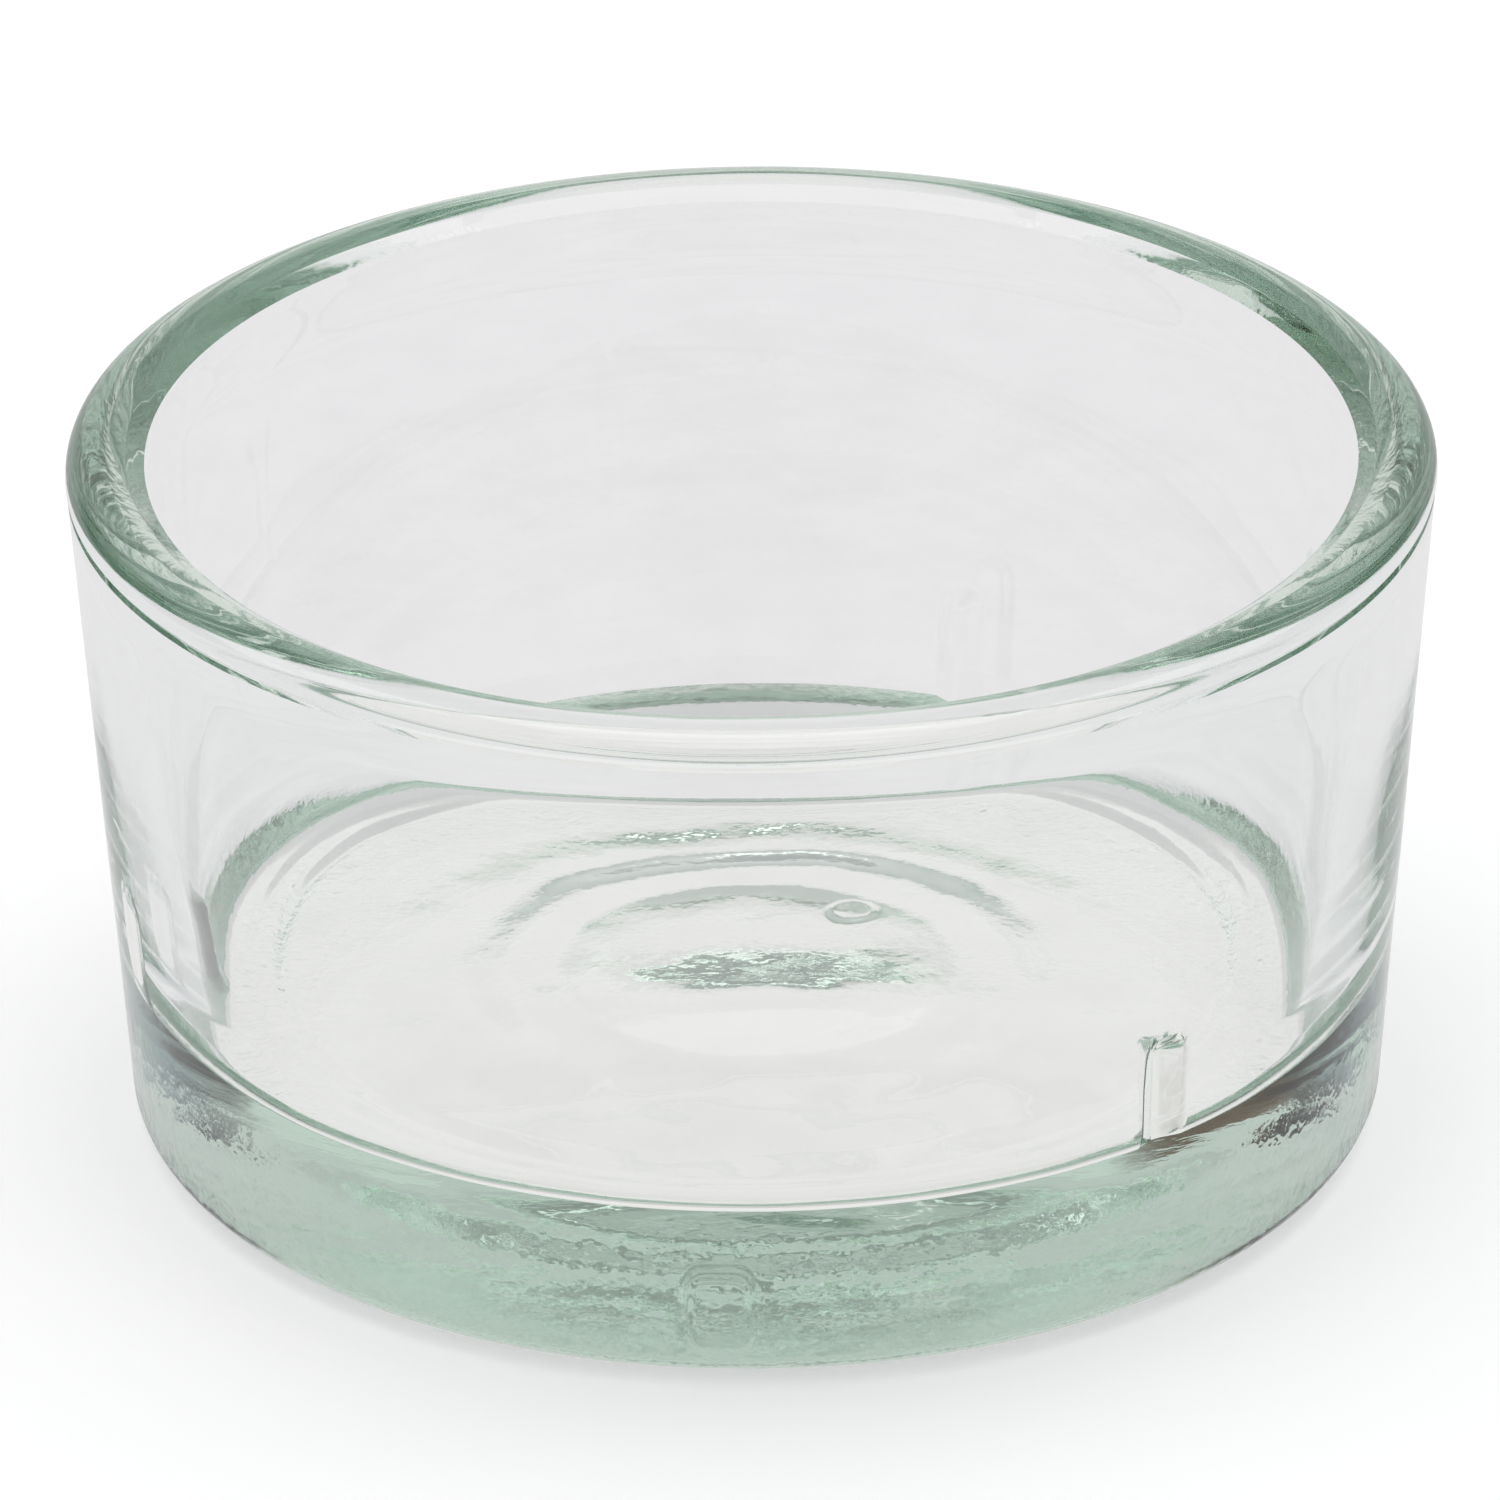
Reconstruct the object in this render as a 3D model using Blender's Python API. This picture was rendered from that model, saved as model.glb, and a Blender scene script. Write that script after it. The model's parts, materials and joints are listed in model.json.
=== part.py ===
# Glass tealight cup: one pressed-glass piece that a tealight stands in.
# Metres, +Z up. The cup stands on z = 0 with its axis on the Z axis.
# Bearings are read from above, from the front (-Y) towards the right (+X).

import math

import bmesh
import bpy

# Outside of the cup
RIM_DIAMETER = 0.0520        # widest, at the mould seam just under the rim
HEIGHT = 0.0278              # table to the crest of the rim
HEEL_DIAMETER = 0.0484       # where the sloping wall turns into the heel
HEEL_HEIGHT = 0.0015         # height of the rounded heel
HEEL_WIDTH = 0.0024          # how far the heel rounds in under the cup

# Rim
RIM_WIDTH = 0.0030           # seam to the edge of the mouth
SEAM_DROP = 0.0010           # crest of the rim down to the seam
MOUTH_DROP = 0.0006          # crest of the rim down to the edge of the mouth
CREST_INSET = 0.00155        # seam to the crest, measured inwards
LIP_FULLNESS = 2.5           # 2 is a quarter ellipse, more fills the outer corner of the rim

# Inside of the cup
BASE_THICKNESS = 0.0064      # solid glass from the table to the floor
FLOOR_DIAMETER = 0.0436      # inner wall, carried on down to the floor
FLOOR_FILLET = 0.0016        # rounding between the floor and the inner wall
FIRST_STEP_INSET = 0.0035    # foot of the inner wall in to the start of the first low step
FIRST_STEP_WIDTH = 0.0007
FIRST_STEP_RISE = 0.00026
SECOND_STEP_INSET = 0.0022
SECOND_STEP_WIDTH = 0.0004
SECOND_STEP_RISE = 0.00012
WALL_CURVE = 1.6             # 1 is a straight cone, more bends the wall in towards the floor
WALL_SWELL = 0.00035         # how far the inner wall draws back below the mouth
SWELL_DROP = 0.0032          # mouth down to where the wall has drawn back

# Underside
BEARING_WIDTH = 0.0034       # flat ring that the cup stands on
RECESS_LIFT = 0.0002         # rise from the bearing ring in to the plug mark
PLUG_MARK_DIAMETER = 0.0236  # round mark that the mould's base plug leaves
PLUG_STEP = 0.00050          # rise of that mark's edge
PLUG_STEP_WIDTH = 0.0018     # width over which the edge rises
DOME_DIAMETER = 0.0156       # flat-topped dome inside the plug mark
DOME_RISE = 0.0003
DIMPLE_DIAMETER = 0.0070     # small dimple in the middle of the dome
DIMPLE_RISE = 0.00040

# Ribs that hold the tealight in the middle
TEALIGHT_DIAMETER = 0.0390   # metal cup of a common tealight
TEALIGHT_PLAY = 0.0014       # tealight to the nose of each rib
RIB_BEARINGS = (40.6, 158.0, 283.0)
RIB_WIDTH = 0.0012
RIB_RISE = 0.0051            # floor to the round top of a rib
RIB_EDGE_ROUND = 0.0003      # rounding of the nose's edge
RIB_ROOT = 0.0012            # how deep a rib's foot and back sit in the glass

# Fineness of the mesh
SEGMENTS = 96
HEEL_STEPS = 5
RIM_STEPS = 5
WALL_STEPS = 7
FILLET_STEPS = 5
FLOOR_STEPS = 3
DOME_STEPS = 4
DIMPLE_STEPS = 3
PLUG_STEPS = 3
RIB_TOP_STEPS = 8
RIB_EDGE_STEPS = 2
WELD_DISTANCE = 1e-7
SHARP_ANGLE = math.radians(30)

# Look of the glass
GLASS_COLOUR = (0.80, 0.88, 0.84, 1.0)
GLASS_ROUGHNESS = 0.03
GLASS_IOR = 1.52


def clear_scene():
    """Remove the objects that the file opens with."""
    for item in list(bpy.data.objects):
        bpy.data.objects.remove(item, do_unlink=True)


def quarter_arc(centre, reach, start_degrees, steps):
    """Points of a quarter ellipse, turning anticlockwise from a start angle."""
    points = []
    for step in range(steps + 1):
        angle = math.radians(start_degrees + 90.0 * step / steps)
        radius = centre[0] + reach[0] * math.cos(angle)
        height = centre[1] + reach[1] * math.sin(angle)
        points.append((radius, height))
    return points


def full_corner(centre, reach, steps):
    """Outer corner of the rim, from the seam up to the crest."""
    points = []
    for step in range(steps + 1):
        angle = math.radians(90.0 * step / steps)
        radius = centre[0] + reach[0] * max(math.cos(angle), 0.0) ** (2.0 / LIP_FULLNESS)
        height = centre[1] + reach[1] * math.sin(angle) ** (2.0 / LIP_FULLNESS)
        points.append((radius, height))
    return points


def ease(share):
    """Smooth step from 0 to 1."""
    share = min(max(share, 0.0), 1.0)
    return share * share * (3.0 - 2.0 * share)


def inner_wall_radius(height):
    """Radius of the curved inner wall at a height above the table."""
    mouth_height = HEIGHT - MOUTH_DROP
    below_mouth = max(0.0, mouth_height - height)
    widest = RIM_DIAMETER / 2 - RIM_WIDTH + WALL_SWELL
    taper = (below_mouth / (mouth_height - BASE_THICKNESS)) ** WALL_CURVE
    swell_left = WALL_SWELL * (1.0 - ease(below_mouth / SWELL_DROP))
    return widest - (widest - FLOOR_DIAMETER / 2) * taper - swell_left


def underside_height(radius):
    """Height of the underside above the table inside the bearing ring."""
    mark_radius = PLUG_MARK_DIAMETER / 2
    recess_radius = HEEL_DIAMETER / 2 - HEEL_WIDTH - BEARING_WIDTH
    lift = RECESS_LIFT * ease((recess_radius - radius) / (recess_radius - mark_radius))
    step = PLUG_STEP * ease((mark_radius - radius) / PLUG_STEP_WIDTH)
    dome = DOME_RISE * max(0.0, 1.0 - (2.0 * radius / DOME_DIAMETER) ** 4)
    dimple = DIMPLE_RISE * ease(1.0 - 2.0 * radius / DIMPLE_DIAMETER)
    return lift + step + dome + dimple


def underside_profile():
    """Underside from the axis out: dimple, dome, plug mark, recess and the bearing ring's inner edge."""
    dimple, dome, mark = DIMPLE_DIAMETER / 2, DOME_DIAMETER / 2, PLUG_MARK_DIAMETER / 2
    radii = [dimple * step / DIMPLE_STEPS for step in range(DIMPLE_STEPS)]
    radii += [dimple + (dome - dimple) * step / DOME_STEPS for step in range(DOME_STEPS)]
    plug_top = mark - PLUG_STEP_WIDTH
    radii += [plug_top + PLUG_STEP_WIDTH * step / PLUG_STEPS for step in range(PLUG_STEPS + 1)]
    recess_radius = HEEL_DIAMETER / 2 - HEEL_WIDTH - BEARING_WIDTH
    radii += [(mark + recess_radius) / 2, recess_radius]
    return [(radius, underside_height(radius)) for radius in sorted(radii)]


def outside_profile():
    """Heel, sloping outer wall and low domed rim, from the foot up and in."""
    seam_radius = RIM_DIAMETER / 2
    seam_height = HEIGHT - SEAM_DROP
    heel_centre = (HEEL_DIAMETER / 2 - HEEL_WIDTH, HEEL_HEIGHT)
    heel = quarter_arc(heel_centre, (HEEL_WIDTH, HEEL_HEIGHT), -90.0, HEEL_STEPS)
    crest_radius = seam_radius - CREST_INSET
    outer_lip = full_corner((crest_radius, seam_height), (CREST_INSET, SEAM_DROP), RIM_STEPS)
    inner_reach = (RIM_WIDTH - CREST_INSET, MOUTH_DROP)
    inner_lip = quarter_arc((crest_radius, HEIGHT - MOUTH_DROP), inner_reach, 90.0, RIM_STEPS)
    return heel + outer_lip + inner_lip[1:]


def floor_height(radius):
    """Height of the floor above the table, with the low steps by which it climbs to the fillet."""
    foot = FLOOR_DIAMETER / 2
    first = FIRST_STEP_RISE * ease((radius - foot + FIRST_STEP_INSET) / FIRST_STEP_WIDTH)
    second = SECOND_STEP_RISE * ease((radius - foot + SECOND_STEP_INSET) / SECOND_STEP_WIDTH)
    return BASE_THICKNESS + first + second


def fillet_top():
    """Height above the table at which the fillet meets the inner wall."""
    return BASE_THICKNESS + FIRST_STEP_RISE + SECOND_STEP_RISE + FLOOR_FILLET


def wall_profile():
    """Curved inner wall from below the mouth down to the fillet."""
    mouth_height = HEIGHT - MOUTH_DROP
    swell_height = mouth_height - SWELL_DROP
    fillet_height = fillet_top()
    heights = [mouth_height - SWELL_DROP / 2]
    heights += [swell_height + (fillet_height - swell_height) * step / WALL_STEPS for step in range(WALL_STEPS)]
    return [(inner_wall_radius(height), height) for height in heights]


def inside_profile():
    """Fillet at the foot of the inner wall, two low steps, then the flat floor to the axis."""
    centre_radius = inner_wall_radius(fillet_top()) - FLOOR_FILLET
    fillet = quarter_arc((centre_radius, fillet_top()), (FLOOR_FILLET, FLOOR_FILLET), -90.0, FILLET_STEPS)
    first_start = FLOOR_DIAMETER / 2 - FIRST_STEP_INSET
    second_start = FLOOR_DIAMETER / 2 - SECOND_STEP_INSET
    shares = [step / FLOOR_STEPS for step in range(FLOOR_STEPS + 1)]
    radii = [second_start + SECOND_STEP_WIDTH * share for share in shares]
    radii += [first_start + FIRST_STEP_WIDTH * share for share in shares]
    floor_radii = sorted((radius for radius in radii if radius < centre_radius), reverse=True)
    return fillet[::-1] + [(radius, floor_height(radius)) for radius in floor_radii] + [(0.0, BASE_THICKNESS)]


def turned_body():
    """Spin the closed half outline of the cup round the Z axis."""
    outline = underside_profile() + outside_profile() + wall_profile() + inside_profile()
    mesh = bmesh.new()
    corners = [mesh.verts.new((radius, 0.0, height)) for radius, height in outline]
    edges = [mesh.edges.new(pair) for pair in zip(corners, corners[1:])]
    bmesh.ops.spin(mesh, geom=corners + edges, cent=(0, 0, 0), axis=(0, 0, 1),
                   angle=math.tau, steps=SEGMENTS, use_merge=True)
    bmesh.ops.remove_doubles(mesh, verts=mesh.verts, dist=WELD_DISTANCE)
    bmesh.ops.recalc_face_normals(mesh, faces=mesh.faces)
    return mesh


def rib_outline():
    """Upright bar with a half-round top, seen from the axis of the cup."""
    half = RIB_WIDTH / 2
    shoulder = BASE_THICKNESS + RIB_RISE - half
    foot = BASE_THICKNESS - RIB_ROOT
    points = [(-half, foot), (half, foot)]
    for step in range(RIB_TOP_STEPS + 1):
        angle = math.pi * step / RIB_TOP_STEPS
        points.append((half * math.cos(angle), shoulder + half * math.sin(angle)))
    return points


def rib_body():
    """Rib along +X: a pill-shaped bar from its nose back into the wall."""
    nose = TEALIGHT_DIAMETER / 2 + TEALIGHT_PLAY
    back = inner_wall_radius(BASE_THICKNESS + RIB_RISE) + RIB_ROOT
    mesh = bmesh.new()
    corners = [mesh.verts.new((nose, across, height)) for across, height in rib_outline()]
    front = mesh.faces.new(corners)
    grown = bmesh.ops.extrude_face_region(mesh, geom=[front], use_keep_orig=True)
    moved = [item for item in grown["geom"] if isinstance(item, bmesh.types.BMVert)]
    bmesh.ops.translate(mesh, verts=moved, vec=(back - nose, 0, 0))
    rim_edges = [edge for edge in mesh.edges if all(vert.co.x < nose + WELD_DISTANCE for vert in edge.verts)]
    bmesh.ops.bevel(mesh, geom=rim_edges, offset=RIB_EDGE_ROUND, offset_type="OFFSET",
                    segments=RIB_EDGE_STEPS, profile=0.5, affect="EDGES", clamp_overlap=True)
    bmesh.ops.recalc_face_normals(mesh, faces=mesh.faces)
    return mesh


def object_from(name, source):
    """Turn a bmesh into an object in the scene."""
    data = bpy.data.meshes.new(name)
    source.to_mesh(data)
    source.free()
    item = bpy.data.objects.new(name, data)
    bpy.context.scene.collection.objects.link(item)
    return item


def add_rib(cup, number, bearing):
    """Join one rib to the cup at its bearing."""
    rib = object_from(f"rib_guide_{number}", rib_body())
    rib.rotation_euler = (0.0, 0.0, math.radians(bearing - 90.0))
    rib.hide_render = True
    rib.display_type = "WIRE"
    union = cup.modifiers.new(f"rib {number}", "BOOLEAN")
    union.operation = "UNION"
    union.solver = "EXACT"
    union.object = rib


def glass_material():
    """Clear pressed glass with a faint green tint."""
    material = bpy.data.materials.new("pressed_glass")
    material.use_nodes = True
    shader = material.node_tree.nodes["Principled BSDF"]
    shader.inputs["Base Color"].default_value = GLASS_COLOUR
    shader.inputs["Roughness"].default_value = GLASS_ROUGHNESS
    shader.inputs["Metallic"].default_value = 0.0
    shader.inputs["IOR"].default_value = GLASS_IOR
    shader.inputs["Transmission Weight"].default_value = 1.0
    return material


def build():
    """Model the cup."""
    clear_scene()
    cup = object_from("glass_cup", turned_body())
    cup.data.materials.append(glass_material())
    for number, bearing in enumerate(RIB_BEARINGS, start=1):
        add_rib(cup, number, bearing)
    cup.data.shade_smooth()
    cup.data.set_sharp_from_angle(angle=SHARP_ANGLE)


build()
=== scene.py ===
# %% [markdown]
# # A pressed-glass tealight cup
#
# The cup is one piece of glass, so everything that makes it look real is in how light goes through it.
# Glass shows nothing of its own: it bends the picture of what stands behind it, and long ways through
# it turn green. So this lesson spends its effort on the true shape of the walls, on the small waves and
# pits that pressing leaves, on how strongly the glass swallows light, and on what stands around the cup.
#
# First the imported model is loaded. It is the frame that everything here has to fit.

# %% Load the frame
import json
import math

import bmesh
import bpy
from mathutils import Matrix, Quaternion, Vector, noise


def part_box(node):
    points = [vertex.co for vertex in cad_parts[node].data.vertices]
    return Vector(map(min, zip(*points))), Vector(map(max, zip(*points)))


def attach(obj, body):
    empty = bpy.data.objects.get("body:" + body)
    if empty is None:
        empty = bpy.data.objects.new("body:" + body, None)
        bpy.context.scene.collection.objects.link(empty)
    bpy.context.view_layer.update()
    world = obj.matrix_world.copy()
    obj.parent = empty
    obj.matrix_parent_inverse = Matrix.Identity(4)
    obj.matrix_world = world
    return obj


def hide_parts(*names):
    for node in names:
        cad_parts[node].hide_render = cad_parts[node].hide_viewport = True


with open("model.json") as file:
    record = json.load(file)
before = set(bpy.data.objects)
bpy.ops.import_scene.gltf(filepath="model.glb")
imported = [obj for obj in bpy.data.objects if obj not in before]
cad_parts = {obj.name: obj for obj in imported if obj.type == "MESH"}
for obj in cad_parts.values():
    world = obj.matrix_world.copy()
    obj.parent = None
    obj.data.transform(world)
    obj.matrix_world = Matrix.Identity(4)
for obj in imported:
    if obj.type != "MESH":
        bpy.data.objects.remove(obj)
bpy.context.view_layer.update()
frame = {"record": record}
cup_low, cup_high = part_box("glass_cup")
print("CAD cup, mm:", [round(side * 1000, 2) for side in cup_high - cup_low])

# %% [markdown]
# ## Sizes
#
# The frame gives the size over all and, through its mounts, the height of the floor that a tealight
# stands on. The other sizes of the outline are written once here, in metres, and every shape below is
# worked out from them.

# %% Sizes taken from the frame
mounts = {mount["name"]: mount for mount in frame["record"]["mounts"]}
RIM_RADIUS = (cup_high.x - cup_low.x) / 2
HEIGHT = cup_high.z
FLOOR_HEIGHT = mounts["tealight_seat"]["pos_m"][2]
given = (RIM_RADIUS, HEIGHT, FLOOR_HEIGHT)
print("rim radius, height, floor height, mm:", [round(size * 1000, 2) for size in given])

# %% Sizes of the heel and the mould seam
HEEL_RADIUS = 0.0242          # outer wall where it turns into the heel
HEEL_HEIGHT = 0.0015
HEEL_WIDTH = 0.0024
SEAM_DROP = 0.0010            # crest of the rim down to the mould seam
SEAM_DEPTH = 0.00018          # groove under the mould seam
SEAM_HEIGHT = 0.00036

# %% [markdown]
# ### Rim and inner wall
#
# A gob of glass is pressed between a mould, a plunger and a ring that closes the mould. The ring shapes
# the rim and leaves a seam just under it. The rim isn't a plain half round: its outer corner is full, then
# it slopes down to the mouth and ends in a steeper lip. From the front the full corner is the white band
# under the green line, and at the back the slope and the lip let the white ground through. Below the mouth
# the inner wall draws back a little, and lower down it bends in towards the floor.

# %% Sizes of the rim and the inner wall
RIM_WIDTH = 0.0030            # mould seam to the edge of the mouth
MOUTH_DROP = 0.0006           # crest of the rim down to the edge of the mouth
CREST_INSET = 0.00155         # mould seam to the crest, measured inwards
LIP_FULLNESS = 2.5            # 2 is an ellipse, more fills the outer corner of the rim
SLOPE_FULLNESS = 1.20         # 1 is a straight slope from the crest down to the mouth
LIP_WIDTH = 0.00070           # steeper bevel that ends the rim at the mouth
LIP_DROP = 0.00042
WALL_SWELL = 0.00035          # how far the inner wall draws back below the mouth
SWELL_DROP = 0.0032
FLOOR_RADIUS = 0.0218         # inner wall, carried on down to the floor
WALL_CURVE = 1.6              # 1 is a straight cone, more bends the wall in towards the floor

# %% [markdown]
# ### The corner of the floor
#
# A fillet joins the wall to the floor, and two low steps climb to it. Each of them draws a crescent at
# the left and at the right of the cup. The photo shows hardly anything of them at the back and only thin
# lines at the front, so the steps are worn away at the back and the fillet changes its size on its way
# round. A modifier would give every bearing the same corner, which is why a function does it here.

# %% Sizes of the corner of the floor
FILLET_WIDTH = 0.0016         # rounding between the floor and the inner wall
FILLET_HEIGHT = 0.0026
CORNER_STEPS = ((0.0183, 0.0190, 0.00026), (0.0196, 0.0200, 0.00012))   # inner edge, outer edge, rise
CORNER_RISE = sum(step[2] for step in CORNER_STEPS)
WORN_FROM = 28.0              # degrees to each side of the back within which the steps are worn away
WORN_TO = 58.0
WORN_FILLET = 0.95            # share of the fillet that is missing there
FRONT_FILLET = 0.60           # share of the fillet that is missing at the front
FRONT_FROM = 45.0             # degrees to each side of the front
FRONT_TO = 80.0

# %% Sizes of the underside
BEARING_INNER = 0.0184        # inner edge of the flat ring that the cup stands on
PLUG_RADIUS = 0.0121          # round mark that the mould's base plug leaves
PLUG_STEP_WIDTH = 0.0026
PLUG_STEP = 0.00030
PLUG_TILT = 0.10              # share by which the step and the dome are deeper at the back
PLUG_LIFT = 0.0002            # gentle rise from the bearing ring to the plug mark
PLUG_SHIFT = Vector((0.0001, 0.0024))        # how far the plug sits off the middle
DOME_RADIUS = 0.0078
DOME_RISE = 0.0003
DIMPLE_REACH = Vector((0.0105, 0.0052))      # rippled dimple near the middle
DIMPLE_RISE = 0.00070
DIMPLE_PLACE = Vector((0.0008, -0.0008))
DIMPLE_FALL = 3.0             # how fast the dimple and its ripples end towards their reach
RIPPLE_LENGTH = 0.0011
RIPPLE_STRETCH = 2.5          # how much longer the ripples are from left to right
RIPPLE_DEPTH = 0.000022
RIPPLE_LAYER = 3.0            # layer of Blender's noise that the ripples are read from

# %% [markdown]
# ## The half outline
#
# A pressed cup is a turned form, so its section on one side of the axis says nearly everything. Blender
# could spin it with the Screw modifier. Here the rings are placed by a function instead, because each
# ring is then free to wander a little and to give way to the ribs.
#
# The outline is a list of zones. Each point knows its zone, its distance from the axis and its height.

# %% Rows of points in each part of the outline
UNDERSIDE_ROWS = 90
HEEL_ROWS = 16
WALL_ROWS = 40
SHEAR_ROW = 0.00014           # rows are closer at the foot of the wall, where the shear mark is
SHEAR_TOP = 0.0054
RIM_CORNER_ROWS = 28
SLOPE_ROWS = 24
LIP_ROWS = 6
INNER_ROWS = 60
FILLET_ROWS = 40
FLOOR_ROWS = 130


# %% Helpers for curves
def ease(share):
    """Smooth step from 0 to 1."""
    share = min(max(share, 0.0), 1.0)
    return share * share * (3.0 - 2.0 * share)


def quarter_arc(centre, reach, start, steps):
    """Points of a quarter ellipse that turns anticlockwise from a start angle in degrees."""
    angles = [math.radians(start + 90.0 * step / steps) for step in range(steps + 1)]
    return [(centre[0] + reach[0] * math.cos(a), centre[1] + reach[1] * math.sin(a)) for a in angles]


def full_arc(centre, reach, fullness, steps):
    """Quarter of a rounded corner, from its outer side up to its top. Fullness 2 is an ellipse."""
    power = 2.0 / fullness
    points = []
    for step in range(steps + 1):
        angle = math.radians(90.0 * step / steps)
        outward = max(math.cos(angle), 0.0) ** power
        points.append((centre[0] + reach[0] * outward, centre[1] + reach[1] * math.sin(angle) ** power))
    return points


def inner_wall_radius(height):
    """Distance of the inner wall from the axis."""
    below_mouth = HEIGHT - MOUTH_DROP - height
    down = below_mouth / (HEIGHT - MOUTH_DROP - FLOOR_HEIGHT)
    widest = RIM_RADIUS - RIM_WIDTH + WALL_SWELL
    lip = WALL_SWELL * (1.0 - ease(below_mouth / SWELL_DROP))
    return widest - (widest - FLOOR_RADIUS) * down ** WALL_CURVE - lip


# %% [markdown]
# ## The underside
#
# Seen through the floor, light meets the underside at about 36 degrees, and glass of this kind turns
# into a mirror at 41. So a slope of only 5 degrees under the base already shows as a silvery green
# crescent. The plug mark, the shallow dome inside it and the dimple in the middle each draw one.

# %% Height of the underside
def plug_step(radius):
    """Height of the plug mark's step at a distance from the axis."""
    return PLUG_STEP * ease((PLUG_RADIUS - radius) / PLUG_STEP_WIDTH)


def plug_dome(radius):
    """Height of the shallow dome inside the plug mark."""
    return DOME_RISE * max(0.0, 1.0 - (radius / DOME_RADIUS) ** 4)


def underside_height(radius):
    """Height of the glass above the table at a distance from the axis."""
    lift = PLUG_LIFT * ease((BEARING_INNER - radius) / (BEARING_INNER - PLUG_RADIUS))
    return lift + plug_step(radius) + plug_dome(radius)


def underside_relief(radius, place):
    """What is not the same all round: the tilt of the plug and the rippled dimple."""
    deep = plug_step(radius) + plug_dome(radius)
    tilt = PLUG_TILT * deep * place.y / max(radius, PLUG_RADIUS / 2)
    off = place.xy - DIMPLE_PLACE
    in_dimple = math.exp(-DIMPLE_FALL * ((off.x / DIMPLE_REACH.x) ** 2 + (off.y / DIMPLE_REACH.y) ** 2))
    spot = Vector((place.x / (RIPPLE_STRETCH * RIPPLE_LENGTH), place.y / RIPPLE_LENGTH, RIPPLE_LAYER))
    ripple = RIPPLE_DEPTH * noise.noise(spot)
    return tilt + (DIMPLE_RISE + 2.0 * ripple) * in_dimple


def underside_zone():
    """Underside from the axis out to the flat bearing ring."""
    foot_radius = HEEL_RADIUS - HEEL_WIDTH
    radii = [foot_radius * (row / UNDERSIDE_ROWS) for row in range(UNDERSIDE_ROWS)]
    return [("underside", r, underside_height(r)) for r in radii]


# %% Outer side
def outer_zone():
    """Rounded heel and the sloping outer wall up to the mould seam."""
    centre = (HEEL_RADIUS - HEEL_WIDTH, HEEL_HEIGHT)
    heel = quarter_arc(centre, (HEEL_WIDTH, HEEL_HEIGHT), -90.0, HEEL_ROWS)
    seam_foot = HEIGHT - SEAM_DROP - SEAM_HEIGHT
    seam_radius = RIM_RADIUS - SEAM_DEPTH / 4
    wall_height = seam_foot - HEEL_HEIGHT
    points = [("heel", r, z) for r, z in heel]
    low_shares = [SHEAR_ROW * row / wall_height for row in range(1, int(SHEAR_TOP / SHEAR_ROW))]
    first_row = math.ceil(WALL_ROWS * SHEAR_TOP / wall_height)
    for share in low_shares + [row / WALL_ROWS for row in range(first_row, WALL_ROWS)]:
        radius = HEEL_RADIUS + (seam_radius - HEEL_RADIUS) * share
        points.append(("wall", radius, HEEL_HEIGHT + wall_height * share))
    points.append(("wall", seam_radius, seam_foot))
    points.append(("wall", RIM_RADIUS - SEAM_DEPTH, seam_foot + SEAM_HEIGHT / 3))
    return points


# %% Rim
def rim_zone():
    """Rim from the mould seam over the crest and down the slope to the edge of the mouth."""
    crest = RIM_RADIUS - CREST_INSET
    outer = full_arc((crest, HEIGHT - SEAM_DROP), (CREST_INSET, SEAM_DROP), LIP_FULLNESS, RIM_CORNER_ROWS)
    slope_drop = MOUTH_DROP - LIP_DROP
    slope_reach = (RIM_WIDTH - CREST_INSET - LIP_WIDTH, slope_drop)
    mirrored = full_arc((crest, HEIGHT - slope_drop), slope_reach, SLOPE_FULLNESS, SLOPE_ROWS)
    slope = [(2 * crest - r, z) for r, z in mirrored[::-1]]
    shares = [row / LIP_ROWS for row in range(1, LIP_ROWS + 1)]
    lip = [(slope[-1][0] - LIP_WIDTH * share, slope[-1][1] - LIP_DROP * share) for share in shares]
    return [("rim", r, z) for r, z in outer + slope[1:] + lip]


# %% Floor and its corner
def corner_rise(radius):
    """Height of the low steps by which the floor climbs to the fillet."""
    return sum(rise * ease((radius - start) / (end - start)) for start, end, rise in CORNER_STEPS)


def worn_share(bearing):
    """1 at the back of the cup, where the low steps are worn away, and 0 at its sides and front."""
    return ease((WORN_TO - abs(bearing % 360.0 - 180.0)) / (WORN_TO - WORN_FROM))


def worn_drop(height, bearing):
    """How far the worn floor lies below its unworn steps."""
    return (height - FLOOR_HEIGHT) * worn_share(bearing)


def fillet_keep(bearing):
    """Size of the fillet: full at the sides, smaller at the front and hardly any at the back."""
    off_front = abs((bearing + 180.0) % 360.0 - 180.0)
    at_front = ease((FRONT_TO - off_front) / (FRONT_TO - FRONT_FROM))
    return 1.0 - WORN_FILLET * worn_share(bearing) - FRONT_FILLET * at_front


def worn_fillet(radius, height, bearing):
    """Point of the fillet, drawn into the corner by as much as the fillet is smaller there."""
    foot = FLOOR_HEIGHT + CORNER_RISE + FILLET_HEIGHT
    corner_radius = inner_wall_radius(foot)
    corner_height = FLOOR_HEIGHT + CORNER_RISE * (1.0 - worn_share(bearing))
    keep = fillet_keep(bearing)
    rise = (height - FLOOR_HEIGHT - CORNER_RISE) * keep
    return corner_radius + (radius - corner_radius) * keep, corner_height + rise


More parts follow.
